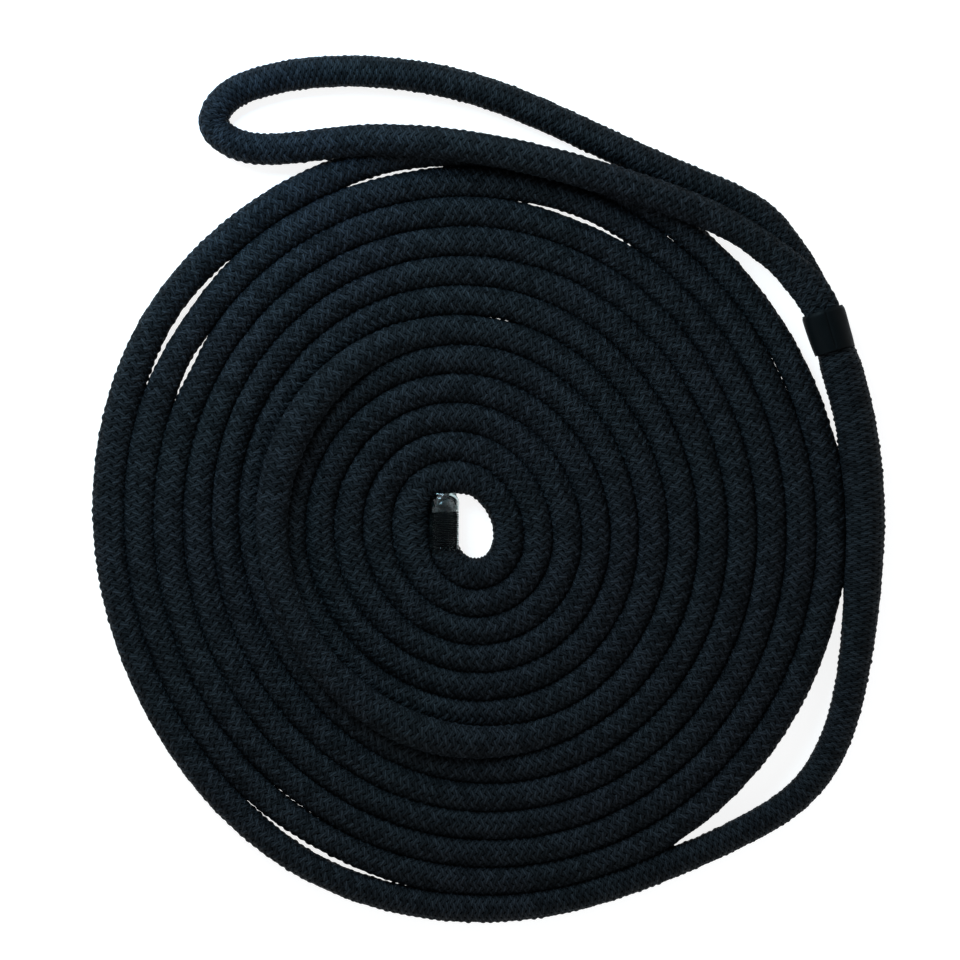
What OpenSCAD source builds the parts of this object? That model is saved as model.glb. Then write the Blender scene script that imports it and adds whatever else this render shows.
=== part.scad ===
// Double-braid dock line, laid down in a flat coil with its spliced eye on top.
// Millimetres. The origin is the middle of the coil, on the surface it lies on.

/* [Rope] */
// Diameter of the rope
rope_d = 12.7; // [11:0.1:13.5]
// Thickness of the braided cover
cover_wall = 1.9; // [1.5:0.1:2.2]
// How far the rope flattens on the surface under the coil
flattening = 0.4; // [0.2:0.1:0.8]

/* [Coil] */
// Inner radius of the coil, round the bitter end
coil_hole_r = 26.5; // [24:0.5:28]
// Whole turns that lie side by side in the coil
coil_turns = 10; // [8:1:10]
// Distance from one turn to the next
turn_pitch = 12.5; // [12:0.1:12.6]

/* [Eye splice] */
// Outer diameter of the sleeve at the throat
throat_sleeve_d = 17.5; // [17:0.1:18.5]
// Wall of the throat sleeve
throat_sleeve_wall = 0.7; // [0.5:0.1:0.8]
// Diameter of the whipping twine at the throat
throat_twine_d = 0.8; // [0.6:0.1:0.9]
// Turns of whipping twine at the throat
throat_twine_turns = 14; // [8:1:16]
// Thickest diameter of the tail buried in the splice
tail_d = 4.6; // [3:0.2:5]

/* [Bitter end] */
// Outer diameter of the clear shrink tube
end_tube_d = 13.6; // [13.5:0.1:14]
// Wall of the clear shrink tube
end_tube_wall = 0.5; // [0.4:0.1:0.6]
// Length of the clear shrink tube
end_tube_length = 23.4; // [22:0.2:26]
// Diameter of the whipping twine at the bitter end
end_twine_d = 1; // [0.8:0.1:1]
// Turns of whipping twine at the bitter end
end_twine_turns = 13; // [8:1:14]
// Length of the melted tip
sealed_length = 6; // [4:0.5:7]

/* [Hidden] */

SIDES = 12;
CORE_GAP = 0.15;
ROUND = 96;

cover_colour = [0.10, 0.11, 0.14];
core_colour = [0.85, 0.85, 0.82];
twine_colour = [0.16, 0.16, 0.18];
sleeve_colour = [0.05, 0.05, 0.06];
clear_colour = [0.75, 0.82, 0.88, 0.4];

// Each row of a route is [x, y, underside above the surface, width, height].
// The loose outer turn, the corner where it leaves the coil, and the splice up to the throat.
// Its first row is sunk in the coil, where it takes over from the wound turns.
OUTER_ROUTE = [
    [-50, -133, 0, 12.5, 12],
    [0, -154, 0, 12.7, 12.7],
    [79, -136.5, 0, 12.7, 12.7],
    [136.5, -79, 0, 12.7, 12.7],
    [157.5, 0, 0, 12.7, 12.7],
    [136, 78.5, 0, 12.7, 12.7],
    [80, 139, 0, 12.7, 12.7],
    [0, 165.5, 0, 12.7, 12.7],
    [-83, 144, 0, 13.2, 12.7],
    [-142.5, 82.5, 0, 13.2, 12.7],
    [-159.5, 0, 0, 12.9, 12.7],
    [-137, -79, 0, 12.5, 12.7],
    [-81.5, -141.5, 0, 13.2, 12.7],
    [-22, -164.5, 0, 12.5, 12.7],
    [38, -163, 0, 12.5, 12.7],
    [80, -150, 0, 12.5, 12.5],
    [120, -132, 0, 12.5, 12.5],
    [145, -115, 0, 12.8, 12.7],
    [159, -93, 0, 13.4, 13],
    [166, -68, 0, 13.8, 13.6],
    [171, -32, 0, 15.2, 15],
    [172.5, 4, 0, 16.6, 16.2],
    [168, 45, 0, 17.6, 17],
    [161.5, 71.7, 0.2, 17.2, 17],
    [159.9, 76.4, 0.5, 16.4, 16.4],
    [159.4, 77.8, 1.6, 14.2, 14.2],
    [153.5, 95, 1.6, 14.2, 14.2]
];

// The eye, from the throat along the outer leg, round the tip and back along the inner leg,
// which climbs over the outer turn of the coil and then lies on the outer leg at the throat.
EYE_ROUTE = [
    [153.5, 95.1, 0.9, 15.6, 7.8],
    [148.4, 109.6, 0.2, 13.8, 8.6],
    [138.4, 124, 0, 12.6, 10.4],
    [127.6, 136.2, 0, 12.6, 12.8],
    [104, 148.5, 0, 13.4, 13.4],
    [65, 165.3, 0, 13.6, 13.4],
    [33, 180, 0, 13.6, 13.4],
    [0, 192.5, 0, 13.6, 13.4],
    [-34, 199, 0, 13.6, 13.4],
    [-69, 199.5, 0, 13.6, 13.4],
    [-95, 194.5, 0, 13.6, 13.4],
    [-110, 185.5, 0, 13.4, 13.6],
    [-113, 177, 0, 13.2, 13.6],
    [-105, 169, 0, 13.4, 13.6],
    [-86, 165.8, 1.5, 13.6, 13.4],
    [-51, 169, 6, 13.6, 13.4],
    [-17, 168.5, 11, 13.6, 13.2],
    [18, 163, 12.2, 13.6, 13.2],
    [52, 154.5, 12.2, 13.6, 13.2],
    [85, 144, 11, 13.4, 13.2],
    [117, 129.4, 7.6, 12.8, 12.8],
    [132.5, 118.4, 8, 12.6, 10.4],
    [144.6, 107, 8.4, 13.8, 8.6],
    [153.5, 95.1, 8.8, 15.6, 7.8]
];

// The bitter end, from its tip through the whipping and round the middle of the coil, until it
// has merged with the first of the wound turns.
END_ROUTE = [
    [-12.4, 7, 1.4, 10.8, 10.8],
    [-12.4, -8.1, 1.4, 10.8, 10.8],
    [-11.9, -9.6, 0.4, 12.4, 12],
    [-8.5, -15.6, 0, 13.2, 12.7],
    [-0.5, -20, 0, 13.8, 12.7],
    [8, -18.6, 0, 13.8, 12.7],
    [14, -12.2, 0, 13.6, 12.7],
    [16, -3.5, 0, 13.4, 12.7],
    [14.4, 6, 0, 13.4, 12.7],
    [9.5, 14.2, 0, 13.4, 12.7],
    [1.5, 20.6, 0, 13.4, 12.7],
    [-7.5, 22.4, 0, 13.4, 12.7],
    [-15.9, 21.2, 0, 13.2, 12.7],
    [-23, 16.3, 0, 13, 12.7],
    [-26.9, 8.2, 0, 13, 12.6],
    [-27.6, -1.3, 0, 12.9, 12.5],
    [-26.2, -11.3, 0, 12.8, 12.4],
    [-21.8, -21.3, 0, 12.6, 12.2],
    [-14, -29, 0, 12.4, 12],
    [-4, -32.6, 0, 12.4, 12]
];

// Rings to each stretch between two rows of the outer route; the other routes' rows are close
// enough to be rings themselves
OUTER_STEPS = 2;
// Rings of the outer route that hold the buried tail, counted back from the throat
TAIL_RINGS = 14;

throat_from = [159.4, 77.8];
throat_to = [153.5, 95];
end_axis_x = -12.4;
end_base_y = -8.1;
end_tip_y = 7;

// ---- Routes ----

// One place on a smooth curve from b to c, with a before and d after them
function on_curve(a, b, c, d, t) =
    0.5 * (2 * b + (c - a) * t + (2 * a - 5 * b + 4 * c - d) * t * t
    + (3 * b - a - 3 * c + d) * t * t * t);
function mix(a, b, t) = a * (1 - t) + b * t;
function plan(row) = [row[0], row[1]];
function row_at(rows, i) = rows[max(0, min(len(rows) - 1, i))];

// The row between rows i and i + 1: curved in plan, straight in its sizes
function between(rows, i, t) = let(
        p = on_curve(
            plan(row_at(rows, i - 1)), plan(rows[i]),
            plan(rows[i + 1]), plan(row_at(rows, i + 2)), t
        ),
        q = mix(rows[i], rows[i + 1], t)
    ) [p[0], p[1], q[2], q[3], q[4]];
function smooth(rows, steps) = [
    for (i = [0 : len(rows) - 2]) for (k = [0 : steps - 1]) between(rows, i, k / steps),
    rows[len(rows) - 1]
];
// The last rows of a route, counted back from its end
function last_rows(rows, count) = [for (i = [len(rows) - count : len(rows) - 1]) rows[i]];

// ---- Swept tubes ----

function unit(v) = v / norm(v);
function centre(row) = [row[0], row[1], row[2] + row[4] / 2];
// The corners of the cross-section at row i, inset from the rope's outside
function ring(rows, i, inset) = let(
        along = unit(centre(row_at(rows, i + 1)) - centre(row_at(rows, i - 1))),
        side = unit(cross([0, 0, 1], along)),
        up = cross(along, side),
        half_w = rows[i][3] / 2 - inset,
        half_h = rows[i][4] / 2 - inset
    ) [
        for (s = [0 : SIDES - 1]) let(a = 360 * (s + 0.5) / SIDES)
            centre(rows[i]) + half_w * cos(a) * side + half_h * sin(a) * up
    ];
function skin(rows, inset) = [for (i = [0 : len(rows) - 1]) each ring(rows, i, inset)];
// The four-sided faces of a skin whose corners are numbered from base
function panels(points, base) = [
    for (i = [0 : SIDES : len(points) - 2 * SIDES]) for (s = [0 : SIDES - 1])
        let(next = (s + 1) % SIDES, here = base + i, ahead = base + i + SIDES)
            [here + s, here + next, ahead + next, ahead + s]
];
// A ring's own face, and the faces between an outer and an inner ring
function disc(first) = [for (s = [0 : SIDES - 1]) first + s];
function rim(outer, inner) = [
    for (s = [0 : SIDES - 1]) let(next = (s + 1) % SIDES)
        [outer + s, inner + s, inner + next, outer + next]
];
function reversed(face) = [for (k = [len(face) - 1 : -1 : 0]) face[k]];

// A tube between an outer and an inner skin, or a solid one if there is no inner skin. The two
// skins end in one plane. A blind inner skin starts further along and is closed there.
module tube(outer, inner = [], blind = false) {
    base = len(outer);
    outer_last = base - SIDES;
    inner_last = base + len(inner) - SIDES;
    is_open = len(inner) > 0;
    polyhedron(
        points = concat(outer, inner),
        faces = concat(
            panels(outer, 0),
            [for (face = panels(inner, base)) reversed(face)],
            is_open && !blind ? rim(0, base) : [reversed(disc(0))],
            is_open && blind ? [disc(base)] : [],
            is_open ? [for (face = rim(outer_last, inner_last)) reversed(face)] : [disc(outer_last)]
        )
    );
}

// ---- Whippings ----

// Turns of twine side by side round the Z axis, lying on a rope of radius inner_r
module twine_turns(inner_r, twine_d, turns) {
    rotate_extrude($fn = ROUND) {
        translate([inner_r, 0]) square([twine_d / 2, turns * twine_d]);
        for (i = [0 : turns - 1])
            translate([inner_r + twine_d / 2, (i + 0.5) * twine_d]) circle(d = twine_d, $fn = 24);
    }
}

module pipe(outer_r, wall, length) {
    difference() {
        cylinder(r = outer_r, h = length, $fn = ROUND);
        translate([0, 0, -1]) cylinder(r = outer_r - wall, h = length + 2, $fn = ROUND);
    }
}

// Stands its children, made along +Z, on the throat's axis, pointing at the eye
module at_throat(lift) {
    heading = atan2(throat_to[1] - throat_from[1], throat_to[0] - throat_from[0]);
    translate([throat_from[0], throat_from[1], lift]) rotate([0, 90, heading]) children();
}

// Stands its children, made along +Z, on the bitter end's axis, pointing at its tip
module at_bitter_end(y, lift) {
    translate([end_axis_x, y, lift]) rotate([-90, 0, 0]) children();
}

tail_tip_d = 1.2;
throat_length = norm(throat_to - throat_from);
throat_rope_r = 7.1;
end_rope_r = 5.4;
outer_rows = smooth(OUTER_ROUTE, OUTER_STEPS);
// The tail thickens evenly from its tip to its full size a little below the throat
tail_rows = [
    for (i = [0 : TAIL_RINGS - 1]) let(
            row = last_rows(outer_rows, TAIL_RINGS)[i],
            d = mix(tail_tip_d, tail_d, min(1, i / (TAIL_RINGS / 2)))
        ) [row[0], row[1], row[2] + (row[4] - d) / 2, d, d]
];

// ---- Sub-parts ----

// The wound turns as one closed ring: ridged on top, flat where it lies on the surface
module rope_coil() {
    first_r = coil_hole_r + rope_d / 2;
    top = rope_d - flattening;
    color(cover_colour) rotate_extrude($fn = 180) difference() {
        union() {
            translate([first_r, 0]) square([turn_pitch * (coil_turns - 1), top / 2]);
            for (i = [0 : coil_turns - 1])
                translate([first_r + i * turn_pitch, rope_d / 2 - flattening])
                    circle(d = rope_d, $fn = 48);
        }
        translate([0, -rope_d]) square([first_r + turn_pitch * (coil_turns + 1), rope_d]);
    }
}

module outer_cover() {
    color(cover_colour) tube(skin(outer_rows, 0), skin(outer_rows, cover_wall));
}

// The core opens at the throat, where the tail goes in
module outer_core() {
    color(core_colour) tube(
        skin(outer_rows, cover_wall + CORE_GAP), skin(tail_rows, -CORE_GAP), blind = true
    );
}

module eye_cover() {
    color(cover_colour) tube(skin(EYE_ROUTE, 0), skin(EYE_ROUTE, cover_wall));
}

module eye_core() {
    color(core_colour) tube(skin(EYE_ROUTE, cover_wall + CORE_GAP));
}

module buried_tail() {
    color(cover_colour) tube(skin(tail_rows, 0));
}

module throat_whipping() {
    margin = (throat_length - throat_twine_turns * throat_twine_d) / 2;
    color(twine_colour) at_throat(throat_sleeve_d / 2) translate([0, 0, margin])
        twine_turns(throat_rope_r + 0.05, throat_twine_d, throat_twine_turns);
}

module throat_sleeve() {
    color(sleeve_colour) at_throat(throat_sleeve_d / 2)
        pipe(throat_sleeve_d / 2, throat_sleeve_wall, throat_length);
}

module end_cover() {
    color(cover_colour) tube(skin(END_ROUTE, 0), skin(END_ROUTE, cover_wall));
}

module end_core() {
    color(core_colour) tube(skin(END_ROUTE, cover_wall + CORE_GAP));
}

module end_whipping() {
    margin = (end_tip_y - end_base_y - end_twine_turns * end_twine_d) / 2;
    color(twine_colour) at_bitter_end(end_base_y + margin, end_tube_d / 2)
        twine_turns(end_rope_r + 0.05, end_twine_d * 0.8, end_twine_turns);
}

module end_shrink_tube() {
    color(clear_colour) at_bitter_end(end_base_y, end_tube_d / 2)
        pipe(end_tube_d / 2, end_tube_wall, end_tube_length);
}

// A short melted stub with a rounded tip
module sealed_end() {
    tip_r = end_rope_r * 0.6;
    color(sleeve_colour) at_bitter_end(end_tip_y, end_tube_d / 2) rotate_extrude($fn = ROUND) {
        square([end_rope_r, sealed_length - tip_r]);
        square([end_rope_r - tip_r, sealed_length]);
        translate([end_rope_r - tip_r, sealed_length - tip_r]) intersection() {
            circle(r = tip_r, $fn = 48);
            square(tip_r);
        }
    }
}

rope_coil();
outer_cover();
outer_core();
eye_cover();
eye_core();
buried_tail();
throat_whipping();
throat_sleeve();
end_cover();
end_core();
end_whipping();
end_shrink_tube();
sealed_end();
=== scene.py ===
"""A coiled dock line: double-braid rope in a flat coil, its whipped end inside and its eye outside.

Everything is in metres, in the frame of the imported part. The braided cover is real geometry: a
skin whose rows follow the strands, so that each strand stands up between the ones it crosses.
"""

import math

import bpy
import numpy as np
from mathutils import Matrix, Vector


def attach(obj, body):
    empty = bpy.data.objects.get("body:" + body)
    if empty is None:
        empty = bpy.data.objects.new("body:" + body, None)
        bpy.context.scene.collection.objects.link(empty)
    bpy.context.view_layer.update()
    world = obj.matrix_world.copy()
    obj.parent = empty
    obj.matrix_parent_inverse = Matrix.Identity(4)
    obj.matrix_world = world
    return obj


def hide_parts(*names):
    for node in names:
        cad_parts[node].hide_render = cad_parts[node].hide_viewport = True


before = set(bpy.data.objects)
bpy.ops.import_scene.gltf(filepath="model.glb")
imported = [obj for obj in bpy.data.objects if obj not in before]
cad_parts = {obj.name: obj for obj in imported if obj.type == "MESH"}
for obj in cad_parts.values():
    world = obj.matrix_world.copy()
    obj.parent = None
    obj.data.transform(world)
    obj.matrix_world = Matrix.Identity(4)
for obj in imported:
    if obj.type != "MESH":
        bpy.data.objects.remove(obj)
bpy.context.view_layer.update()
scene = bpy.context.scene

# ---- Sizes of the rope, in metres ----

ROPE = 0.0127
STEP = 0.0005  # between the samples of a line
SINK = 0.00025  # how far the underside flattens on the ground
FLOOR = 0.0002  # lowest height of any surface
COLUMNS = 16  # columns of strands round the rope, half of them leaning each way
PER_COLUMN = 4  # mesh steps across a column
PER_PICK = 6  # mesh rows to a strand
AROUND = COLUMNS * PER_COLUMN
NESTLE = 0.0004  # how far the strands of touching turns sink between each other
NESTLE_FADE = 0.0002  # how soon they stop doing so where a gap opens
NO_NEIGHBOUR = 1  # room beside a turn that has no neighbour, more than any rope fills
RELIEF = 0.00105  # height of a strand above the groove beside it
MIDDLE_RELIEF = 0.75  # the share of it that lies below the rope's plain surface
CROWN = (0, 0.8, 1, 0.8)  # a strand's share of that height, step by step across its column
UNEVEN = 0.12  # how much one strand stands higher than another, as a spread
DIVE, DIVE_SWAY = 0.5, 0.2  # height between two columns, as a share, and how it varies
LEAN = 0.36  # how far along the rope a strand runs across its column, in strands
CROWDED_LEAN = 2.2  # how fast that falls where strands are pushed together, as a power
POKE = 1.15  # how far, in mesh steps, a strand bulges into the next column
POKE_SHARE = (1, 0.5, 0, -0.5)  # each mesh step's share of that bulge
WALL = 0.0017  # thickness of the cover
CORE_INSET = 0.0018  # from the rope's plain surface to the core
COIL_PICK = 0.00362  # from one strand to the next along the even part of the rope
SLOW_TWIST = (0.9, (0.71, 0.29, 1.3))  # how the braid turns round the rope: angle, wave lengths
QUICK_TWIST = (0.05, (0.037, 0.021))
SQUARER, SQUARE_AT = 0.4, 0.0012  # how square a squeezed turn gets, and from what squeeze on

# ---- Routes, each row [x, y, underside above the ground, width, height] ----

# The loose outer turn, the corner where it leaves the coil, and the splice up to the throat
OUTER_ROUTE = [
    [0, -0.154, 0, 0.0127, 0.0127],
    [0.079, -0.1365, 0, 0.0127, 0.0127],
    [0.1365, -0.079, 0, 0.0127, 0.0127],
    [0.1575, 0, 0, 0.0127, 0.0127],
    [0.136, 0.0785, 0, 0.0127, 0.0127],
    [0.08, 0.139, 0, 0.0127, 0.0127],
    [0, 0.1655, 0, 0.0127, 0.0127],
    [-0.083, 0.144, 0, 0.0132, 0.0127],
    [-0.1425, 0.0825, 0, 0.0134, 0.0127],
    [-0.1592, 0, 0, 0.0137, 0.0127],
    [-0.137, -0.079, 0, 0.0125, 0.0127],
    [-0.0815, -0.1415, 0, 0.0132, 0.0127],
    [-0.022, -0.1645, 0, 0.0125, 0.0127],
    [0.038, -0.163, 0, 0.0125, 0.0127],
    [0.08, -0.15, 0, 0.0125, 0.0125],
    [0.12, -0.132, 0, 0.0125, 0.0125],
    [0.145, -0.115, 0, 0.0128, 0.0127],
    [0.159, -0.093, 0, 0.0134, 0.013],
    [0.166, -0.068, 0, 0.0138, 0.0136],
    [0.1706, -0.032, 0, 0.0158, 0.015],
    [0.1722, 0.004, 0, 0.0169, 0.0162],
    [0.168, 0.045, 0, 0.0176, 0.017],
    [0.1611, 0.0715, 0.0002, 0.0184, 0.017],
    [0.1596, 0.0764, 0.0005, 0.0174, 0.0164],
    [0.159, 0.0785, 0.0012, 0.0156, 0.0148],
    [0.1535, 0.095, 0.0016, 0.0142, 0.0142],
]

# The eye, from the throat along the outer leg, round the tip and back along the inner leg
EYE_ROUTE = [
    [0.1543, 0.0921, 0.0012, 0.0152, 0.0074],
    [0.1532, 0.0951, 0.0009, 0.0156, 0.0078],
    [0.1474, 0.1092, 0.0002, 0.0134, 0.0086],
    [0.1384, 0.124, 0, 0.0126, 0.0104],
    [0.1276, 0.1362, 0, 0.0126, 0.0128],
    [0.104, 0.1485, 0, 0.0134, 0.0134],
    [0.065, 0.1653, 0, 0.0136, 0.0134],
    [0.033, 0.18, 0, 0.0136, 0.0134],
    [0, 0.1925, 0, 0.0136, 0.0134],
    [-0.034, 0.199, 0, 0.0136, 0.0134],
    [-0.069, 0.1995, 0, 0.0136, 0.0134],
    [-0.095, 0.1945, 0, 0.0136, 0.0134],
    [-0.11, 0.1855, 0, 0.0134, 0.0136],
    [-0.113, 0.177, 0, 0.0132, 0.0136],
    [-0.105, 0.169, 0, 0.0134, 0.0136],
    [-0.086, 0.1658, 0.0015, 0.0136, 0.0134],
    [-0.051, 0.169, 0.006, 0.0136, 0.0134],
    [-0.017, 0.1679, 0.011, 0.0136, 0.0132],
    [0.018, 0.1624, 0.0122, 0.0136, 0.0132],
    [0.052, 0.1538, 0.0122, 0.0136, 0.0132],
    [0.085, 0.1434, 0.011, 0.0134, 0.0132],
    [0.117, 0.1294, 0.0076, 0.0128, 0.0128],
    [0.1328, 0.1184, 0.008, 0.0134, 0.0104],
    [0.1454, 0.1064, 0.0084, 0.0164, 0.0086],
    [0.1527, 0.0951, 0.0088, 0.0162, 0.0078],
    [0.154, 0.0921, 0.009, 0.0152, 0.0074],
]

# The bitter end, from its tip through the whipping and round the middle of the coil
END_ROUTE = [
    [-0.0124, 0.007, 0.0014, 0.0108, 0.0108],
    [-0.0124, -0.0081, 0.0014, 0.0108, 0.0108],
    [-0.0119, -0.0096, 0.0004, 0.013, 0.0125],
    [-0.0085, -0.0156, 0, 0.0136, 0.0127],
    [-0.0005, -0.02, 0, 0.0138, 0.0127],
    [0.008, -0.0186, 0, 0.0138, 0.0127],
    [0.014, -0.0122, 0, 0.0136, 0.0127],
    [0.016, -0.0035, 0, 0.0134, 0.0127],
    [0.0144, 0.006, 0, 0.0134, 0.0127],
    [0.0095, 0.0142, 0, 0.0134, 0.0127],
    [0.0015, 0.0206, 0, 0.0134, 0.0127],
    [-0.0075, 0.0222, 0, 0.0145, 0.0127],
    [-0.0157, 0.0212, 0, 0.0148, 0.0127],
    [-0.023, 0.0163, 0, 0.0152, 0.0126],
    [-0.0267, 0.0082, 0, 0.0156, 0.0125],
    [-0.0271, -0.0013, 0, 0.0158, 0.0124],
    [-0.0254, -0.0113, 0, 0.0156, 0.0125],
    [-0.0205, -0.0213, 0, 0.0146, 0.0127],
    [-0.0118, -0.0292, 0, 0.0129, 0.0127],
    [0.0003, -0.0329, 0, 0.0127, 0.0127],
]

# Where a wound turn strays from the even spiral: (turn, how far outwards)
STRAYS = [
    (1.8, -0.0012),
    (3.78, 0.002),
    (4.2, -0.0008),
    (4.78, 0.0029),
    (5.25, -0.0009),
    (5.66, -0.0012),
    (6.84, -0.0044),
    (7.8, -0.0028),
    (8.72, -0.0014),
    (9.82, 0.0009),
    (10.7, 0.0018),
    (10.84, 0.0019),
]
STRAY_SPAN = 0.11

# Slivers of ground that show between a turn and the next one out: (turn, half its
# span, width)
SLIVERS = [
    (5.48, 0.012, 0.0006),
    (9.447, 0.026, 0.0017),
    (9.667, 0.0145, 0.002),
    (9.908, 0.022, 0.0006),
    (10.325, 0.02, 0.0005),
    (10.4, 0.02, 0.0004),
    (10.535, 0.021, 0.0013),
    (10.65, 0.0257, 0.0026),
    (10.93, 0.03, 0.0022),
]
# Slack up to which two turns are pressed together: inside the coil, and against the outer turn
LOOSE_INSIDE, LOOSE_OUTSIDE, LOOSE_FADE = 0.0028, 0.0009, 0.0011
OUTSIDE_TURN = 11.05
NARROWEST = 0.8  # least width of a squeezed side, as a share
BULGE = -0.6  # how the height answers to the width, as a power
SETTLE_STEPS = 20

# Along this stretch one turn has been pushed up on top of its two neighbours
RIDGE = (5.5, 5.68, 5.95, 6.08)
RIDGE_LIFT = 0.0094
RIDGE_WIDER, RIDGE_LOWER = 0.06, 0.04
SPIRAL_FROM, SPIRAL_TO = 1.08, 10.96
ROWS_PER_TURN = 24

# The even spiral's radius as waves round the coil: (wave, how many round, at first, per turn).
# It starts small and grows by a pitch a turn, lies off centre, and is a little oval. The values
# were fitted by least squares to the seams between turns, as measured in the photograph
SPIRAL_WAVES = [
    (np.cos, 0, 0.018, 0.01227),
    (np.cos, 1, -0.00511, 0.000784),
    (np.sin, 1, -0.00248, 0.000394),
    (np.cos, 2, 0, -0.000289),
    (np.sin, 2, -0.00161, -0.000061),
]


def spiral_angle(turn):
    """The angle after that many turns, counted from straight below."""
    return np.radians(270 + 360 * turn)


def spiral_radius(turn):
    """Radius of the wound line's middle after that many turns."""
    a = spiral_angle(turn)
    even = sum((first + grows * turn) * wave(n * a) for wave, n, first, grows in SPIRAL_WAVES)
    return even + sum(d * np.exp(-(((turn - t) / STRAY_SPAN) ** 2)) for t, d in STRAYS)


def ramp(x, low, high):
    """0 below low, 1 above high, smooth between."""
    t = np.clip((x - low) / (high - low), 0, 1)
    return t * t * (3 - 2 * t)


def ridge(turn):
    """How far a turn is lifted onto its neighbours, from 0 to 1."""
    return ramp(turn, RIDGE[0], RIDGE[1]) * (1 - ramp(turn, RIDGE[2], RIDGE[3]))


def spiral_rows():
    rows = []
    for turn in np.arange(SPIRAL_FROM, SPIRAL_TO, 1 / ROWS_PER_TURN):
        a, r, lift = spiral_angle(turn), spiral_radius(turn), ridge(turn)
        width, height = ROPE * (1 + RIDGE_WIDER * lift), ROPE * (1 - RIDGE_LOWER * lift)
        rows.append([r * math.cos(a), r * math.sin(a), RIDGE_LIFT * lift, width, height])
    return rows


def spline(rows, step):
    """The rows, sampled about every step: a smooth curve in x and y, straight in the rest."""
    p = np.array(rows, float)
    t = np.concatenate([[0], np.cumsum(np.linalg.norm(np.diff(p[:, :2], axis=0), axis=1))])
    h = np.diff(t)
    n = len(p)
    a = np.zeros((n, n))
    b = np.zeros((n, p.shape[1]))
    a[0, 0] = a[-1, -1] = 1
    for i in range(1, n - 1):
        a[i, i - 1], a[i, i], a[i, i + 1] = h[i - 1], 2 * (h[i - 1] + h[i]), h[i]
        b[i] = 6 * ((p[i + 1] - p[i]) / h[i] - (p[i] - p[i - 1]) / h[i - 1])
    m = np.linalg.solve(a, b)
    s = np.linspace(0, t[-1], int(t[-1] / step) + 1)
    i = np.clip(np.searchsorted(t, s, side="right") - 1, 0, n - 2)
    u, v, w = (t[i + 1] - s)[:, None], (s - t[i])[:, None], h[i][:, None]
    curved = (
        m[i] * u**3 / (6 * w)
        + m[i + 1] * v**3 / (6 * w)
        + (p[i] / w - m[i] * w / 6) * u
        + (p[i + 1] / w - m[i + 1] * w / 6) * v
    )
    # Heights and widths run straight from row to row, so that they don't overshoot
    straight = (p[i] * u + p[i + 1] * v) / w
    curved[:, 2:] = straight[:, 2:]
    return curved


def soften(values, steps):
    """A running average over that many steps each way, weighted towards the middle."""
    kernel = np.hanning(2 * steps + 3)[1:-1]
    kernel /= kernel.sum()
    padded = np.concatenate([np.full(steps, values[0]), values, np.full(steps, values[-1])])
    return np.convolve(padded, kernel, "valid")


def waves(s, seed, amount, lengths):
    """A slow, repeatable wander along the rope."""
    rng = np.random.default_rng(seed)
    total = np.zeros_like(s)
    for length in lengths:
        total += np.sin(2 * math.pi * (s / length + rng.random())) * rng.uniform(0.6, 1)
    return amount * total / len(lengths)


class Line:
    """A stretch of rope: its middle line, its sides and its frame at every point."""

    SMOOTH_STEPS = 12

    def __init__(self, rows):
        c = spline(rows, STEP)
        self.width = soften(c[:, 3], self.SMOOTH_STEPS)
        self.height = soften(c[:, 4], self.SMOOTH_STEPS)
        self.under = soften(c[:, 2], self.SMOOTH_STEPS)
        self.xy = c[:, :2]
        self.half_left = self.width / 2
        self.half_right = self.width / 2
        self.place()

    def place(self):
        """Works out the middle line and its frame from the route and the height."""
        z = self.under + self.height / 2 - SINK
        self.mid = np.column_stack([self.xy, z])
        d = np.gradient(self.mid, axis=0)
        self.along = d / np.linalg.norm(d, axis=1)[:, None]
        side = np.column_stack([-self.along[:, 1], self.along[:, 0], np.zeros(len(d))])
        self.side = side / np.linalg.norm(side, axis=1)[:, None]
        self.up = np.cross(self.along, self.side)
        steps = np.linalg.norm(np.diff(self.mid, axis=0), axis=1)
        self.s = np.concatenate([[0], np.cumsum(steps)])
        self.length = self.s[-1]

    def at(self, s, values):
        """The line's values, read at s along it."""
        if values.ndim == 1:
            return np.interp(s, self.s, values)
        return np.stack([np.interp(s, self.s, v) for v in values.T], axis=-1)


main = Line(END_ROUTE + spiral_rows() + OUTER_ROUTE)
eye = Line(EYE_ROUTE)


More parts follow.
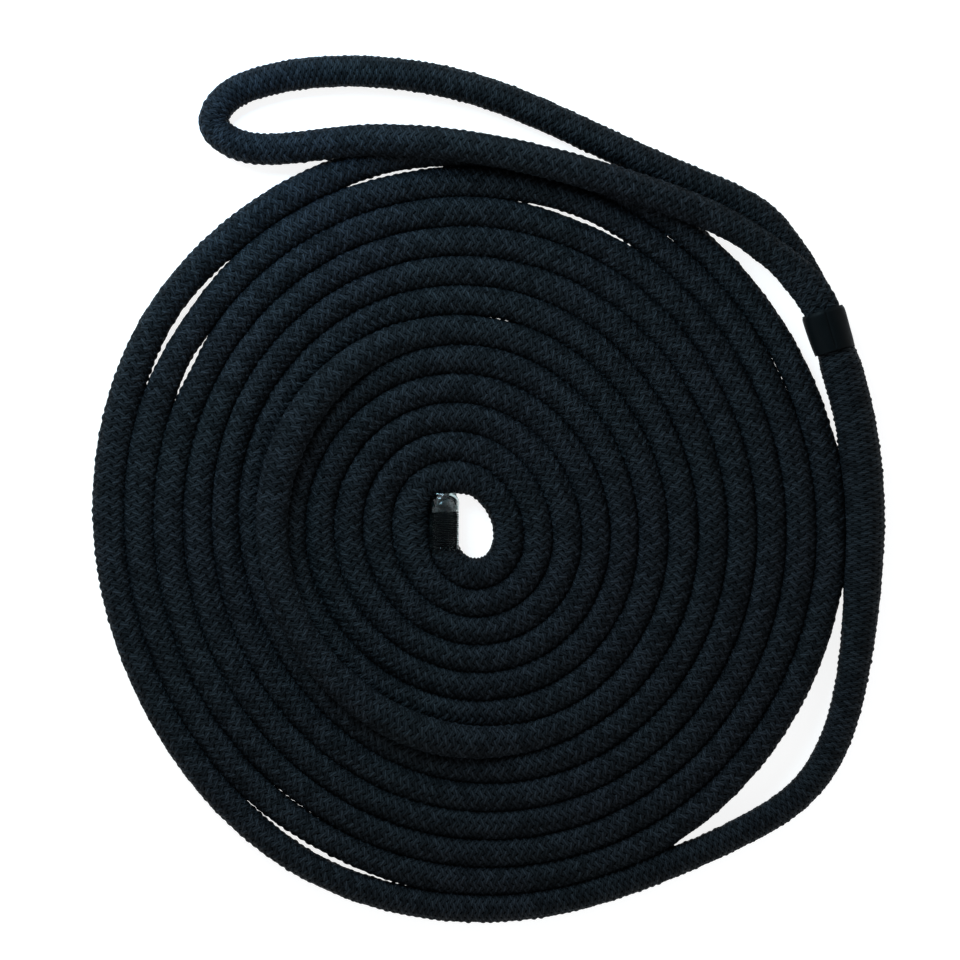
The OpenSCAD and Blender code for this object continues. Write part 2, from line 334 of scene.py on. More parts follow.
def settle_neighbours(line):
    """Lets each turn fill the room between its neighbours and no more."""
    x, y = line.xy.T
    angle = np.unwrap(np.arctan2(y, x))
    radius = np.hypot(x, y)
    z = line.mid[:, 2]
    wound = np.maximum.accumulate(angle)
    from_below = 0.75  # of a turn, since angles count from the right
    turn = wound / (2 * math.pi) - from_below
    turn -= np.floor(turn[0]) + 1
    half = line.width / 2

    def sliver(at):
        """Half the width of the ground that shows outside that turn."""
        return sum(w * np.exp(-(((at - t) / span) ** 2)) for t, span, w in SLIVERS) / 2

    def to_neighbour(turns, opening, inner):
        """The rope's reach towards the turn that many turns on. inner is the inner one's turn."""
        there = wound + 2 * math.pi * turns
        gap = turns * (np.interp(there, wound, radius) - radius)
        rise = np.interp(there, wound, z) - z
        room = np.hypot(gap, rise) - np.interp(there, wound, half)
        room[(there < wound[0]) | (there > wound[-1])] = NO_NEIGHBOUR
        spare = room - half
        # Turns that all but touch are pressed together, except along the slivers
        loose = np.where(inner < OUTSIDE_TURN, LOOSE_INSIDE, LOOSE_OUTSIDE)
        closed = 1 - ramp(spare, loose, loose + LOOSE_FADE)
        pressed = closed * (spare / 2 + NESTLE * np.exp(-opening / NESTLE_FADE))
        return np.maximum(half + pressed - opening, NARROWEST * half)

    # The line winds anticlockwise, so its left side is the one towards the middle
    line.half_left = soften(to_neighbour(-1, sliver(turn - 1), turn - 1), SETTLE_STEPS)
    line.half_right = soften(to_neighbour(1, sliver(turn), turn), SETTLE_STEPS)
    squeeze = (line.half_left + line.half_right) / line.width
    line.height = line.height * squeeze**BULGE
    line.place()


settle_neighbours(main)
print("rope", round(main.length, 4), "eye", round(eye.length, 4))

# ---- Camera, straight above as in the photograph ----

VIEW_CENTRE = (0.0035, 0.021)
VIEW_WIDTH = 0.4205
VIEW_HEIGHT = 1.6
SENSOR = 36  # millimetres
camera_data = bpy.data.cameras.new("camera")
camera_data.sensor_width = SENSOR
camera_data.lens = SENSOR * (VIEW_HEIGHT - ROPE / 2) / VIEW_WIDTH
camera = bpy.data.objects.new("camera", camera_data)
camera.location = (*VIEW_CENTRE, VIEW_HEIGHT)
scene.collection.objects.link(camera)
scene.camera = camera

# ---- The braided cover ----


def make_mesh(name, points, quads, tris=(), uv=None):
    """A smooth-shaded object from arrays. uv holds one pair for each corner of the quads."""
    quads = np.asarray(quads, np.int32).reshape(-1, 4)
    tris = np.asarray(tris, np.int32).reshape(-1, 3)
    me = bpy.data.meshes.new(name)
    me.vertices.add(len(points))
    me.vertices.foreach_set("co", np.asarray(points, np.float32).ravel())
    corners = np.concatenate([quads.ravel(), tris.ravel()])
    me.loops.add(len(corners))
    me.loops.foreach_set("vertex_index", corners)
    me.polygons.add(len(quads) + len(tris))
    starts = np.concatenate(
        [np.arange(len(quads)) * 4, len(quads) * 4 + np.arange(len(tris)) * 3]
    )
    me.polygons.foreach_set("loop_start", starts.astype(np.int32))
    me.polygons.foreach_set("use_smooth", np.ones(len(starts), bool))
    me.update(calc_edges=True)
    if uv is not None:
        layer = me.uv_layers.new(name="Braid")
        flat = np.zeros((len(corners), 2), np.float32)
        flat[: len(uv)] = uv
        layer.data.foreach_set("uv", flat.ravel())
    me.validate()
    ob = bpy.data.objects.new(name, me)
    scene.collection.objects.link(ob)
    return ob


class Braid:
    """The skin of a braided cover along a line, on a grid whose rows follow its strands.

    Strands lean one way in the even columns and the other way in the odd ones, and those of the
    odd columns lie half a step further along.
    """

    def __init__(self, line, pick, seed):
        self.line = line
        rng = np.random.default_rng(seed)
        # pick(s) is the distance from a strand to the next one along the rope
        rows = [0.0]
        while rows[-1] < line.length or len(rows) % PER_PICK != 1:
            rows.append(rows[-1] + pick(rows[-1]) / PER_PICK)
        self.rows = np.array(rows) * line.length / rows[-1]
        count = len(rows)
        i, j = np.meshgrid(np.arange(count), np.arange(AROUND), indexing="ij")
        column, across = j // PER_COLUMN, j % PER_COLUMN
        odd = column % 2 == 1
        lean = np.abs((j / PER_COLUMN + 1) % 2 - 1) - 0.5
        ends = np.clip(np.minimum(i, count - 1 - i) / PER_PICK, 0, 1)
        pitch = np.gradient(self.rows)[:, None] * PER_PICK
        # Strands lie more crosswise where they are pushed together
        across_rope = LEAN * (pitch / COIL_PICK) ** CROWDED_LEAN
        s = self.rows[:, None] + lean * pitch * across_rope * ends

        # A strand bulges sideways where the next column has the gap between two strands
        sway = np.cos(2 * math.pi * i / PER_PICK)
        out = np.where(odd, -1, 1) * sway * POKE
        shift = out * np.array(POKE_SHARE)[across]
        crowd = rng.normal(0, UNEVEN, (count // PER_PICK + 2, COLUMNS))
        strand = np.where(odd, (i + PER_PICK // 2) // PER_PICK, i // PER_PICK)
        own = crowd[strand, column]
        twist = waves(s, seed, *SLOW_TWIST) + waves(s, seed + 1, *QUICK_TWIST)
        angle = 2 * math.pi * (j + shift) / AROUND + twist

        up_v = (i % PER_PICK) / PER_PICK
        down_v = ((i + PER_PICK // 2) % PER_PICK) / PER_PICK
        back = np.sqrt(1 - (2 * np.where(odd, down_v, up_v) - 1) ** 2)
        back = back * (1 + own * back)
        dive = DIVE + DIVE_SWAY * np.abs(sway)
        relief = np.where(across == 0, dive, back * np.array(CROWN)[across])
        self.points = self.skin(s, angle, RELIEF * (relief - MIDDLE_RELIEF))

    def skin(self, s, angle, outwards):
        """Points round the rope at s along it, at that angle and height above its plain surface."""
        line = self.line
        left, right = line.at(s, line.half_left), line.at(s, line.half_right)
        tall = line.at(s, line.height) / 2
        squeeze = line.at(s, line.width) - left - right
        power = 2 + np.clip(squeeze / SQUARE_AT, 0, 1) * SQUARER
        c, z = np.cos(angle), np.sin(angle)
        c = np.sign(c) * np.abs(c) ** (2 / power)
        z = np.sign(z) * np.abs(z) ** (2 / power)
        reach = np.where(c > 0, left, right) + outwards
        mid, side, up = line.at(s, line.mid), line.at(s, line.side), line.at(s, line.up)
        points = mid + side * (c * reach)[..., None] + up * (z * (tall + outwards))[..., None]
        points[..., 2] = np.maximum(points[..., 2], FLOOR)
        return points


def ring_quads(rings, around, base=0, inward=False):
    """The faces between rings of points that follow each other from point number base on."""
    i, j = np.meshgrid(np.arange(rings - 1), np.arange(around), indexing="ij")
    a = base + i * around + j
    b = base + i * around + (j + 1) % around
    quads = np.stack([a, b, b + around, a + around], axis=-1).reshape(-1, 4)
    return quads[:, ::-1] if inward else quads


def cover_piece(name, braid, first, last):
    """The cover from one row of the braid to another: a tube with its own inside."""
    rows = last - first + 1
    skin = braid.points[first : last + 1].reshape(-1, 3)
    quads = ring_quads(rows, AROUND)
    j = np.tile(np.arange(AROUND), rows - 1)
    i = np.repeat(np.arange(first, last), AROUND)
    u = j / PER_COLUMN
    v = i / PER_PICK + np.where((j // PER_COLUMN) % 2 == 0, 0, 0.5)
    du, dv = 1 / PER_COLUMN, 1 / PER_PICK
    uv = np.stack([u, v, u + du, v, u + du, v + dv, u, v + dv], axis=-1).reshape(-1, 2)

    inner_rows = np.arange(first, last + 1, 2 * PER_PICK)
    inner_rows[-1] = last
    angle = 2 * math.pi * np.arange(COLUMNS) / COLUMNS + np.zeros((len(inner_rows), 1))
    s = braid.rows[inner_rows][:, None] + np.zeros((1, COLUMNS))
    inner = braid.skin(s, angle, -WALL).reshape(-1, 3)
    base = len(skin)
    inside = ring_quads(len(inner_rows), COLUMNS, base, inward=True)

    # The two ends, between the outer ring and the inner one, on corners of their own so that
    # they don't bend the shading of the braid
    rim, tris = [], []
    at = base + len(inner)
    for outer_at, inner_at, flip in (
        (0, base, False),
        ((rows - 1) * AROUND, at - COLUMNS, True),
    ):
        both = np.vstack([skin, inner])
        rim += [both[outer_at : outer_at + AROUND], both[inner_at : inner_at + COLUMNS]]
        o, n = at, at + AROUND
        at = n + COLUMNS
        for k in range(COLUMNS):
            there = [o + (PER_COLUMN * k + m) % AROUND for m in range(PER_COLUMN + 1)]
            faces = [(b, a, n + k) for a, b in zip(there, there[1:])]
            faces.append((n + (k + 1) % COLUMNS, there[-1], n + k))
            tris += [f[::-1] for f in faces] if flip else faces
    points = np.vstack([skin, inner, *rim])
    return make_mesh(name, points, np.vstack([quads, inside]), tris, uv)


def main_pick(s):
    """From one strand to the next at s along the line. The coil's even braid closes up at the
    bitter end, and towards the throat, where the splice swells the rope."""
    at_end = np.interp(s, [0.03, 0.12], [0.0031, COIL_PICK])
    to_throat = [0, 0.05, 0.1, 0.2, 0.3, 0.4, 0.5]
    picks = [0.0024, 0.0025, 0.0027, 0.00275, 0.00295, 0.0032, COIL_PICK]
    return min(at_end, np.interp(main.length - s, to_throat, picks))


def eye_pick(s):
    """From one strand to the next at s along the eye. The outer leg is pushed together and the
    inner one, past the tip, is drawn out."""
    along = [0, 0.15, 0.2, 0.25, 0.3, 0.34, 0.4, 0.5, 0.6]
    picks = [0.0031, 0.0031, 0.003, 0.0028, 0.0026, 0.0034, 0.0038, 0.0036, 0.0035]
    return np.interp(s, along, picks)


def pieces_of(braid, names):
    """Divides a braid between names, at whole strands."""
    picks = (len(braid.rows) - 1) // PER_PICK
    cuts = [PER_PICK * (picks * n // len(names)) for n in range(len(names) + 1)]
    return [cover_piece(name, braid, a, b) for name, a, b in zip(names, cuts, cuts[1:])]


MAIN_NAMES = [
    "cover_bitter_end",
    "cover_turns_a",
    "cover_turns_b",
    "cover_turns_c",
    "cover_turns_d",
    "cover_turns_e",
    "cover_turns_f",
    "cover_outer_turn",
    "cover_splice",
]
EYE_NAMES = ["cover_eye_outer_leg", "cover_eye_inner_leg"]
MAIN_SEED, EYE_SEED = 3, 11
covers = pieces_of(Braid(main, main_pick, MAIN_SEED), MAIN_NAMES)
covers += pieces_of(Braid(eye, eye_pick, EYE_SEED), EYE_NAMES)


def capped_tube(name, rings):
    """A closed solid through rings of points."""
    count, around = len(rings), len(rings[0])
    points = np.vstack([*rings, rings[0].mean(0), rings[-1].mean(0)])
    last, a, b = (count - 1) * around, count * around, count * around + 1
    tris = [((k + 1) % around, k, a) for k in range(around)]
    tris += [(last + k, last + (k + 1) % around, b) for k in range(around)]
    return make_mesh(name, points, ring_quads(count, around), tris)


CORE_SPACING = 0.004  # from ring to ring
CORE_AROUND = 12
CORE_SMOOTH = 3  # rings each way
# Where the core starts and stops short of each line's ends
CORE_ENDS = ((main, 0.002, 0.01), (eye, 0.012, 0.002))


def core_tube():
    """The inner braid: one rope from the bitter end to the throat, round the eye and back."""
    rings, path = [], []
    angle = 2 * math.pi * np.arange(CORE_AROUND) / CORE_AROUND
    for line, start, short in CORE_ENDS:
        stop = line.length - short
        for s in np.linspace(start, stop, int((stop - start) / CORE_SPACING)):
            mid, side, up = (line.at(s, v) for v in (line.mid, line.side, line.up))
            wide = (line.at(s, line.half_left) + line.at(s, line.half_right)) / 2 - CORE_INSET
            tall = line.at(s, line.height) / 2 - CORE_INSET
            path.append(mid)
            rings.append(
                np.outer(np.cos(angle) * wide, side) + np.outer(np.sin(angle) * tall, up)
            )
    path = np.column_stack([soften(v, CORE_SMOOTH) for v in np.transpose(path)])
    return capped_tube("core", [ring + mid for ring, mid in zip(rings, path)]), path


core, core_path = core_tube()

# ---- The sleeve, the clear tube, the whipping and the melted tip ----

UP = np.array([0, 0, 1])


def flat_axis(axis):
    """The unit vector along an axis in the ground's plane, and the one to its left."""
    axis = np.array([*axis, 0.0])
    axis /= np.linalg.norm(axis)
    return axis, np.array([-axis[1], axis[0], 0])


def turned(name, place, axis, stations, around, ripple):
    """A shell round an axis in the ground's plane. stations are (along, outer radius, wall).

    ripple(along, angle) adds to the radius, 0 angle being straight up."""
    axis, side = flat_axis(axis)
    angle = 2 * math.pi * np.arange(around) / around
    outer, inner = [], []
    for along, r, wall in stations:
        extra = ripple(along, angle)
        for rings, radius in ((outer, r + extra), (inner, r - wall + extra)):
            spokes = np.outer(np.cos(angle) * radius, UP) + np.outer(np.sin(angle) * radius, side)
            ring = np.array(place) + axis * along + spokes
            ring[:, 2] = np.maximum(ring[:, 2], FLOOR)
            rings.append(ring)
    # Out along the outside, back along the inside and round to the start again
    loop = outer + inner[::-1]
    start, after = np.arange(around), (np.arange(around) + 1) % around
    last = (len(loop) - 1) * around
    join = np.stack([last + start, last + after, after, start], axis=-1)
    quads = np.vstack([ring_quads(len(loop), around), join])
    # Reversed, so that the faces point outwards for this axis and side
    return make_mesh(name, np.vstack(loop), quads[:, ::-1])


def bell(x, width):
    """1 at 0, falling to nothing a few widths away."""
    return math.exp(-((x / width) ** 2))


# The black shrink sleeve over the throat, slightly barrelled over the whipping inside it
THROAT_FROM, THROAT_TO = np.array([0.1586, 0.0776]), np.array([0.1532, 0.095])
SLEEVE_R, SLEEVE_WALL = 0.0092, 0.0007
SLEEVE_AROUND, SLEEVE_RINGS = 288, 73
SLEEVE_TWINE = 0.0008  # from one turn of the whipping to the next
CREASE_DEPTH, CREASE_WIDTH = 0.0005, 0.05  # the width is an angle
sleeve_axis = THROAT_TO - THROAT_FROM
sleeve_length = float(np.linalg.norm(sleeve_axis))
stations = []
for t in np.linspace(0, 1, SLEEVE_RINGS):
    # A thin lip at both ends, wider towards the eye, with a rounded shoulder there
    lip = 0.00012 * bell(min(t, 1 - t) * sleeve_length, 0.0005)
    shoulder = 0.0005 * bell((1 - t) * sleeve_length, 0.0009)
    barrel = 0.0006 * t - 0.0003 * (2 * t - 1) ** 4 - shoulder
    stations.append((t * sleeve_length, SLEEVE_R + barrel + lip, SLEEVE_WALL))


def sleeve_ripple(along, angle):
    """Faint turns of the whipping, slow unevenness, and a crease along the top of the tube."""
    middle = math.sin(math.pi * along / sleeve_length)
    turns = 0.00003 * math.cos(2 * math.pi * along / SLEEVE_TWINE) * middle
    wavy = 0.00005 * np.sin(3 * angle + 400 * along) + 0.00004 * np.sin(7 * angle - 250 * along)
    # The crease drifts round by one degree from end to end
    from_top = (angle + math.pi + along) % (2 * math.pi) - math.pi
    crease = np.exp(-((from_top / CREASE_WIDTH) ** 2)) * ramp(middle, 0.05, 0.4)
    return turns + wavy - CREASE_DEPTH * crease


sleeve = turned(
    "throat_sleeve_tube",
    (*THROAT_FROM, SLEEVE_R),
    sleeve_axis,
    stations,
    SLEEVE_AROUND,
    sleeve_ripple,
)

# The clear shrink tube over the bitter end, drawn in over the melted tip
END_X, END_BASE, END_TOP = -0.0124, -0.0098, 0.0153
END_R, END_WALL = 0.0069, 0.00045
END_AROUND, END_RINGS = 96, 95
END_TWINE = 0.001  # from one turn of the whipping to the next, as seen through the tube
DRAW_FROM, DRAWN_IN = 0.012, 0.0013  # where the tube starts to narrow, and by how much
FLARE, FLARE_LENGTH = 0.0004, 0.002
TIGHTER = 0.0001  # the tube's radius below END_R, which is the height of its axis
SHOULDER_Y = 0.0072  # where the whipping ends and the tube stands free of it
SHOULDER_FADE = 0.0012
stations = []
for t in np.linspace(0, 1, END_RINGS):
    y = END_BASE + t * (END_TOP - END_BASE)
    drawn = DRAWN_IN * ramp(y, DRAW_FROM, END_TOP) ** 2
    flare = FLARE * (1 - ramp(y, END_BASE, END_BASE + FLARE_LENGTH))
    stations.append((y - END_BASE, END_R - TIGHTER - drawn + flare, END_WALL))


def end_ripple(along, angle):
    """Faint turns of the whipping, slow folds, and a crumpled free end."""
    y = END_BASE + along
    turns = 0.00003 * math.cos(2 * math.pi * along / END_TWINE) * float(y < SHOULDER_Y)
    folds = 0.00007 * np.sin(2 * angle + 1) + 0.00005 * np.sin(5 * angle + 300 * along)
    free = float(ramp(y, SHOULDER_Y - SHOULDER_FADE, SHOULDER_Y + SHOULDER_FADE))
    crumple = 0.00016 * np.sin(3 * angle + 900 * along + 1)
    crumple = crumple + 0.00012 * np.sin(8 * angle - 1700 * along)
    return turns + folds + free * crumple


END_PLACE = (END_X, END_BASE, END_R)
end_tube = turned("end_clear_tube", END_PLACE, (0, 1), stations, END_AROUND, end_ripple)

TWINE = 0.00095
TWINE_STEPS, TWINE_AROUND = 40, 10  # mesh steps to a turn, and round the twine
PLY, PLY_TWIST = 0.1, 0.45  # how far the plies stand out, and how fast they twist


def helix(name, place, axis, radius, turns, start):
    """Whipping twine wound round a rope, side by side, as one closed strand."""
    axis, side = flat_axis(axis)
    ring = 2 * math.pi * np.arange(TWINE_AROUND) / TWINE_AROUND
    rings = []
    for k in range(TWINE_STEPS * turns + 1):
        a = 2 * math.pi * k / TWINE_STEPS
        out = math.cos(a) * UP + math.sin(a) * side
        mid = np.array(place) + axis * (start + TWINE * k / TWINE_STEPS) + out * radius
        # Two plies twist round each other
        fat = 0.5 * TWINE * (1 + PLY * np.cos(2 * (ring - k * PLY_TWIST)))
        rings.append(mid + np.outer(np.cos(ring) * fat, out) + np.outer(np.sin(ring) * fat, axis))
    return capped_tube(name, rings)


WINDING_R, WINDING_TURNS, WINDING_START = 0.0059, 16, 0.0016
end_twine = helix("end_twine", END_PLACE, (0, 1), WINDING_R, WINDING_TURNS, WINDING_START)

TIP_FROM, TIP_TO, TIP_R = 0.0066, 0.0147, 0.0058
TIP_AROUND, TIP_RINGS = 40, 22
TIP_OFFSET = 0.0004  # sideways, from the tube's axis
TIP_DOME_FROM, TIP_DOME, TIP_DOME_POWER = 0.35, 0.75, 2.4


def melted_tip():
    """A lumpy dome, widest where it meets the whipping."""
    angle = 2 * math.pi * np.arange(TIP_AROUND) / TIP_AROUND
    rings = []
    for t in np.linspace(0, 1, TIP_RINGS):
        y = TIP_FROM + t * (TIP_TO - TIP_FROM)
        domed = max(0, (t - TIP_DOME_FROM) / (1 - TIP_DOME_FROM)) ** TIP_DOME_POWER
        r = TIP_R * (1 - domed * TIP_DOME)
        r = r + 0.0003 * np.sin(3 * angle + 5 * t) + 0.0002 * np.sin(5 * angle - 9 * t + 1)
        x, z = END_X + TIP_OFFSET + r * np.sin(angle), END_R + r * np.cos(angle)
        rings.append(np.column_stack([x, np.full(TIP_AROUND, y), z]))
    return capped_tube("melted_tip", rings)


tip = melted_tip()

# ---- Materials ----


class Nodes:
    """Short ways to add and link shader nodes."""

    def __init__(self, tree):
        self.tree = tree

    def add(self, kind, **settings):
        node = self.tree.nodes.new(kind)
        for key, value in settings.items():
            setattr(node, key, value)
        return node

    def link(self, a, b):
        self.tree.links.new(a, b)

    def put(self, socket, value):
        """Sets a constant, or links another node's output."""
        if isinstance(value, (int, float, tuple)):
            socket.default_value = value
        else:
            self.link(value, socket)

    def math(self, operation, a, b=0.0):
        node = self.add("ShaderNodeMath", operation=operation)
        for socket, value in zip(node.inputs, (a, b)):
            self.put(socket, value)
        return node.outputs[0]

    def place(self):
        """The point's place on its object, in metres."""
        return self.add("ShaderNodeTexCoord").outputs["Object"]

    def noise(self, vector, scale, detail, rough=0.5):
        node = self.add("ShaderNodeTexNoise")
        self.put(node.inputs["Vector"], vector)
        node.inputs["Scale"].default_value = scale
        node.inputs["Detail"].default_value = detail
        node.inputs["Roughness"].default_value = rough
        return node.outputs["Fac"]

    def bands(self, vector, direction, scale, distortion):
        node = self.add("ShaderNodeTexWave", wave_type="BANDS", bands_direction=direction)
        self.put(node.inputs["Vector"], vector)
        node.inputs["Scale"].default_value = scale
        node.inputs["Distortion"].default_value = distortion
        return node.outputs["Fac"]

    def vector(self, x, y):
        node = self.add("ShaderNodeCombineXYZ")
        for socket, value in zip(node.inputs, (x, y)):
            self.put(socket, value)
        return node.outputs[0]

    def remap(self, value, low, high, to_low, to_high):
        node = self.add("ShaderNodeMapRange")
        self.put(node.inputs["Value"], value)
        for key, v in (
            ("From Min", low),
            ("From Max", high),
            ("To Min", to_low),
            ("To Max", to_high),
        ):
            self.put(node.inputs[key], v)
        return node.outputs["Result"]

    def mix(self, factor, a, b):
        node = self.add("ShaderNodeMix", data_type="RGBA")
        self.put(node.inputs["Factor"], factor)
        self.put(node.inputs[6], a)
        self.put(node.inputs[7], b)
        return node.outputs[2]

    def shaded(self, colour, shade):
        """The colour multiplied by shade, 0 being black."""
        grey = self.add("ShaderNodeCombineColor")
        for socket in grey.inputs[:3]:
            self.link(shade, socket)
        node = self.add("ShaderNodeMix", data_type="RGBA", blend_type="MULTIPLY")
        node.inputs["Factor"].default_value = 1
        self.link(colour, node.inputs[6])
        self.link(grey.outputs[0], node.inputs[7])
        return node.outputs[2]

    def bump(self, height, strength, distance):
        node = self.add("ShaderNodeBump")
        self.put(node.inputs["Height"], height)
        node.inputs["Strength"].default_value = strength
        node.inputs["Distance"].default_value = distance
        return node.outputs[0]


def new_material(name):
    """A material, its shader and the means to add nodes to it."""
    mat = bpy.data.materials.new(name)
    mat.use_nodes = True
    return mat, mat.node_tree.nodes["Principled BSDF"], Nodes(mat.node_tree)


ROPE_COLOURS = ((0.0065, 0.0094, 0.0105, 1), (0.0078, 0.0086, 0.0112, 1))
YARNS = 3  # to a strand
DARK_TWINE = ((0.0012, 0.0015, 0.0017, 1), (0.0045, 0.005, 0.0058, 1))


def dress(piece, look):
    """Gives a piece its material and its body."""
    piece.data.materials.append(look)
    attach(piece, "root")


def rope_material():
    """Black nylon yarn on the braid's own grid: u counts the columns and v the strands."""
    mat, shader, n = new_material("braided_nylon")
    uv = n.add("ShaderNodeUVMap", uv_map="Braid").outputs[0]
    split = n.add("ShaderNodeSeparateXYZ")
    n.link(uv, split.inputs[0])
    u, v = split.outputs[0], split.outputs[1]
    in_strand = n.math("FRACT", v)
    in_column = n.math("FRACT", u)
    # Three yarns lie side by side in each strand
    in_yarn = n.math("FRACT", n.math("MULTIPLY", in_strand, YARNS))
    yarn_off = n.math("ABSOLUTE", n.math("SUBTRACT", in_yarn, 0.5))
    yarn = n.math("SUBTRACT", 1, n.math("POWER", n.math("MULTIPLY", yarn_off, 2), 2))
    # Filaments run along the strand
    filament = n.noise(n.vector(n.math("MULTIPLY", u, 1.6), n.math("MULTIPLY", v, 26)), 1, 3, 0.6)
    strand_id = n.vector(n.math("FLOOR", u), n.math("FLOOR", v))
    chance = n.add("ShaderNodeTexWhiteNoise", noise_dimensions="2D")
    n.link(strand_id, chance.inputs["Vector"])
    chance = chance.outputs["Value"]

    # Painted light and shade in the colour: painted highlights on the strands' backs, and painted
    # shade in the grooves between them, at the column ends and between the yarns. The filament
    # noise that lightens and darkens it is partly the fibres' own tone and partly painted glints
    strand_off = n.math("ABSOLUTE", n.math("SUBTRACT", in_strand, 0.5))
    groove = n.remap(strand_off, 0.18, 0.5, 1.1, 0.04)
    column_off = n.math("ABSOLUTE", n.math("SUBTRACT", in_column, 0.5))
    ends = n.remap(column_off, 0.25, 0.5, 1, 0.8)
    shade = n.math("MULTIPLY", groove, ends)
    shade = n.math("MULTIPLY", shade, n.remap(yarn, 0, 1, 0.16, 1.25))
    shade = n.math("MULTIPLY", shade, n.remap(filament, 0.3, 0.7, 0.3, 1.75))
    shade = n.math("MULTIPLY", shade, n.remap(chance, 0, 1, 0.5, 1.5))
    patch = n.noise(n.place(), 22, 3)
    tint = n.mix(patch, ROPE_COLOURS[0], ROPE_COLOURS[1])
    n.link(n.shaded(tint, shade), shader.inputs["Base Color"])
    rough = n.remap(filament, 0.3, 0.7, 0.45, 0.65)
    n.link(rough, shader.inputs["Roughness"])
    height = n.math("ADD", n.math("MULTIPLY", yarn, 0.7), n.math("MULTIPLY", filament, 0.5))
    n.link(n.bump(height, 1, 0.00034), shader.inputs["Normal"])
    shader.inputs["Specular IOR Level"].default_value = 0.04
    shader.inputs["Specular Tint"].default_value = (0.8, 0.94, 1, 1)
    return mat


def core_material():
    """White braided nylon, hidden inside the cover."""
    mat, shader, n = new_material("core_nylon")
    where = n.place()
    weave = n.bands(where, "DIAGONAL", 180, 1.5)
    fibres = n.noise(where, 2500, 3)
    colour = n.mix(fibres, (0.55, 0.55, 0.52, 1), (0.78, 0.78, 0.75, 1))
    n.link(colour, shader.inputs["Base Color"])
    n.link(n.remap(fibres, 0.3, 0.7, 0.5, 0.75), shader.inputs["Roughness"])
    n.link(n.bump(weave, 0.5, 0.0003), shader.inputs["Normal"])
    return mat


def tail_material():
    """The cover's own yarn, drawn thin and buried inside the core."""
    mat, shader, n = new_material("tapered_nylon")
    where = n.place()
    fibres = n.noise(where, 1500, 4, 0.6)
    weave = n.bands(where, "DIAGONAL", 220, 2)
    n.link(n.mix(fibres, ROPE_COLOURS[0], (0.01, 0.012, 0.014, 1)), shader.inputs["Base Color"])
    n.link(n.remap(fibres, 0.3, 0.7, 0.45, 0.7), shader.inputs["Roughness"])
    n.link(n.bump(weave, 0.5, 0.0003), shader.inputs["Normal"])
    return mat


def twine_material(name, bands=0):
    """Whipping twine: fine fibres and an uneven waxy shine. bands, the scale of a wave, adds the
    turns to a solid that is too plain to have them."""
    mat, shader, n = new_material(name)
    where = n.place()
    fibres = n.noise(where, 1800, 4, 0.6)
    wax = n.noise(where, 260, 3)
    height = fibres
    if bands:
        turns = n.bands(where, "Y", bands, 0.4)
        height = n.math("ADD", turns, n.math("MULTIPLY", fibres, 0.4))
    n.link(n.mix(fibres, *DARK_TWINE), shader.inputs["Base Color"])
    n.link(n.remap(wax, 0.35, 0.65, 0.35, 0.6), shader.inputs["Roughness"])
    n.link(n.bump(height, 0.3, 0.0001), shader.inputs["Normal"])
    shader.inputs["Specular IOR Level"].default_value = 0.04
    return mat


def sleeve_material():
    """Black shrink tube: satin, finely scuffed and a little cloudy."""
    mat, shader, n = new_material("black_shrink_tube")
    where = n.place()
    scuff = n.noise(where, 900, 5, 0.65)
    cloud = n.noise(where, 120, 3)
    black = n.mix(cloud, (0.0012, 0.0019, 0.0022, 1), (0.0026, 0.0036, 0.0041, 1))
    n.link(black, shader.inputs["Base Color"])
    n.link(n.remap(scuff, 0.35, 0.7, 0.4, 0.6), shader.inputs["Roughness"])
    height = n.math("ADD", scuff, n.math("MULTIPLY", cloud, 2))
    n.link(n.bump(height, 0.25, 0.0001), shader.inputs["Normal"])
    shader.inputs["Specular IOR Level"].default_value = 0.03
    return mat


def clear_material(name, ior):
    """Clear shrink tube, hazy where it was heated and glossy on its folds."""
    mat, shader, n = new_material(name)
    where = n.place()
    haze = n.noise(where, 420, 4, 0.6)
    n.link(n.remap(haze, 0.35, 0.7, 0.03, 0.12), shader.inputs["Roughness"])
    hazy = n.mix(haze, (0.6, 0.72, 0.73, 1), (0.85, 0.92, 0.93, 1))
    n.link(hazy, shader.inputs["Base Color"])
    n.link(n.bump(n.noise(where, 500, 3), 0.08, 0.0002), shader.inputs["Normal"])
    shader.inputs["Transmission Weight"].default_value = 1
    shader.inputs["IOR"].default_value = ior
    return mat


def melted_material():
    """Nylon melted to a hard glassy lump, burnt black with paler streaks."""
    mat, shader, n = new_material("melted_nylon")
    where = n.place()
    lumps = n.noise(where, 380, 4, 0.6)
    streaks = n.remap(lumps, 0.45, 0.7, 0, 1)
    burnt = n.mix(streaks, (0.003, 0.0045, 0.005, 1), (0.02, 0.034, 0.038, 1))
    n.link(burnt, shader.inputs["Base Color"])
    n.link(n.remap(lumps, 0.3, 0.7, 0.15, 0.4), shader.inputs["Roughness"])
    n.link(n.bump(lumps, 0.6, 0.0004), shader.inputs["Normal"])
    return mat


rope_look = rope_material()
for piece in covers:
    dress(piece, rope_look)
dress(core, core_material())
dress(sleeve, sleeve_material())
# The tube clings to the whipping without a gloss of its own, and stands free over the tip
dress(end_tube, clear_material("clear_shrink_tube", 1.12))
end_tube.data.materials.append(clear_material("clear_shrink_tip", 1.36))
for face in end_tube.data.polygons:
    face.material_index = int(face.center.y > SHOULDER_Y)
dress(end_twine, twine_material("waxed_twine"))
dress(tip, melted_material())

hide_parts("end_cover")
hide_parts("rope_coil")
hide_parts("outer_cover")
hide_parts("eye_cover")
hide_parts("end_core", "outer_core", "eye_core")
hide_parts("throat_sleeve")
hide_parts("end_shrink_tube")
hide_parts("end_whipping")
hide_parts("sealed_end")
for name, look in (
    ("buried_tail", tail_material()),
    ("throat_whipping", twine_material("throat_twine", bands=150)),
):
    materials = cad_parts[name].data.materials
    materials.clear()
    materials.append(look)

# ---- Ground and light ----

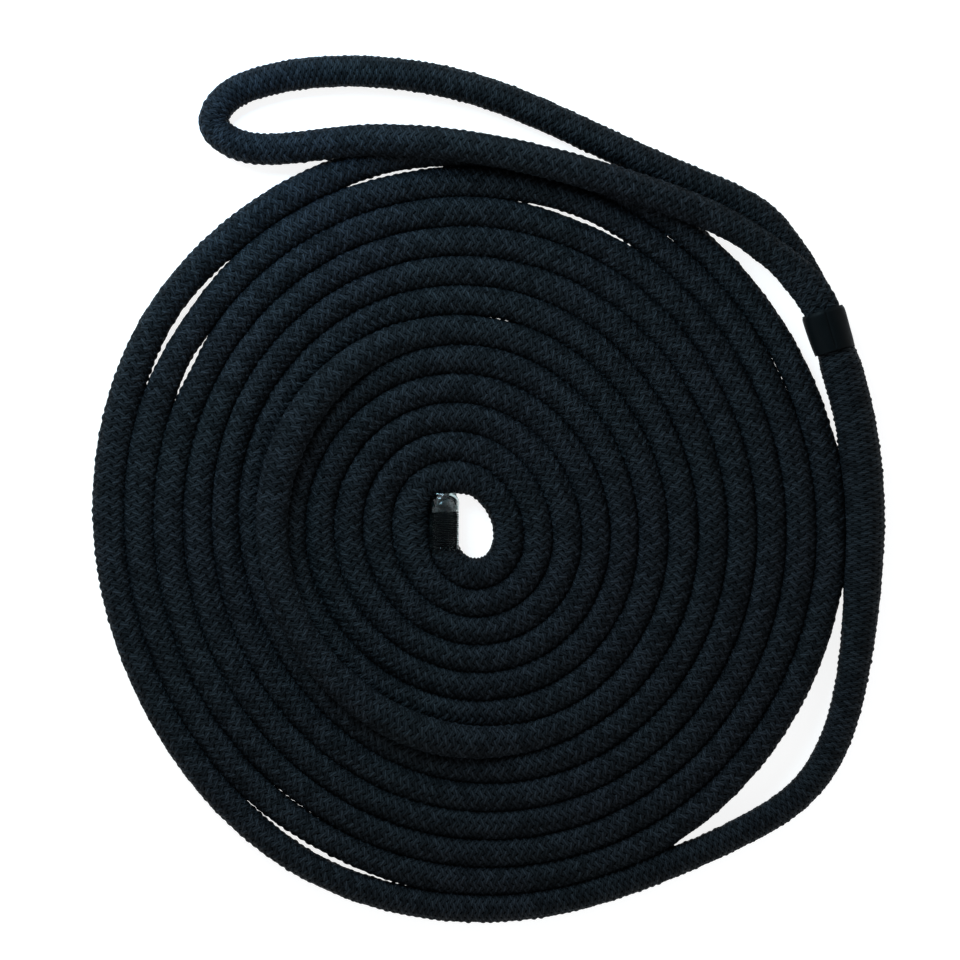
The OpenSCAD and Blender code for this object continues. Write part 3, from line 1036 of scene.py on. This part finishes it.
# A white ground that also shines, as in a light tent, so that it comes out evenly white
GROUND_SIZE = 12
GROUND_GREY, GROUND_ROUGH, GROUND_GLOW = 0.35, 0.8, 0.85
bpy.ops.mesh.primitive_plane_add(size=GROUND_SIZE, location=(0, 0, 0))
ground = bpy.context.object
ground.name = "ground"
ground_look, shader, _ = new_material("ground")
shader.inputs["Base Color"].default_value = (GROUND_GREY, GROUND_GREY, GROUND_GREY, 1)
shader.inputs["Roughness"].default_value = GROUND_ROUGH
shader.inputs["Emission Color"].default_value = (1, 1, 1, 1)
shader.inputs["Emission Strength"].default_value = GROUND_GLOW
ground.data.materials.append(ground_look)

# The tent's bright walls all round and its dim roof. The heights are those of a unit direction
WALL_LIGHT, ROOF_LIGHT = 1.5, 0.2
WALL_TOP, ROOF_FROM = 0.1, 0.85
world = bpy.data.worlds.new("studio")
scene.world = world
world.use_nodes = True
backdrop = world.node_tree.nodes["Background"]
backdrop.inputs["Color"].default_value = (0.92, 0.96, 1, 1)
sky = Nodes(world.node_tree)
direction = sky.add("ShaderNodeSeparateXYZ")
sky.link(sky.add("ShaderNodeTexCoord").outputs["Generated"], direction.inputs[0])
tent = sky.remap(direction.outputs[2], WALL_TOP, ROOF_FROM, WALL_LIGHT, ROOF_LIGHT)
sky.link(tent, backdrop.inputs[1])


def lamp(name, kind, power, colour, place, target):
    """A light at a place, turned towards its target."""
    light = bpy.data.lights.new(name, kind)
    light.energy = power
    light.color = colour
    ob = bpy.data.objects.new(name, light)
    ob.location = place
    ob.rotation_euler = (Vector(target) - Vector(place)).to_track_quat("-Z", "Y").to_euler()
    scene.collection.objects.link(ob)
    return light


key = lamp("key", "AREA", 7.2, (0.55, 0.83, 1), (-0.28, 0.46, 0.36), (-0.05, 0.08, 0))
fill = lamp("fill", "AREA", 4, (1, 1, 1), (1.3, -0.9, 1.2), (0, 0, 0))
for light, size in ((key, 0.36), (fill, 1.2)):
    light.shape = "RECTANGLE"
    light.size = light.size_y = size

# The tip of the eye is the brightest and bluest part of the rope, so a soft spot adds light there
spot = lamp("eye_spot", "SPOT", 10, (0.18, 0.48, 1), (-0.16, 0.36, 0.4), (-0.105, 0.184, 0))
spot.spot_size = math.radians(23)
spot.spot_blend = 1
spot.shadow_soft_size = 0.05
scene.view_settings.view_transform = "Standard"
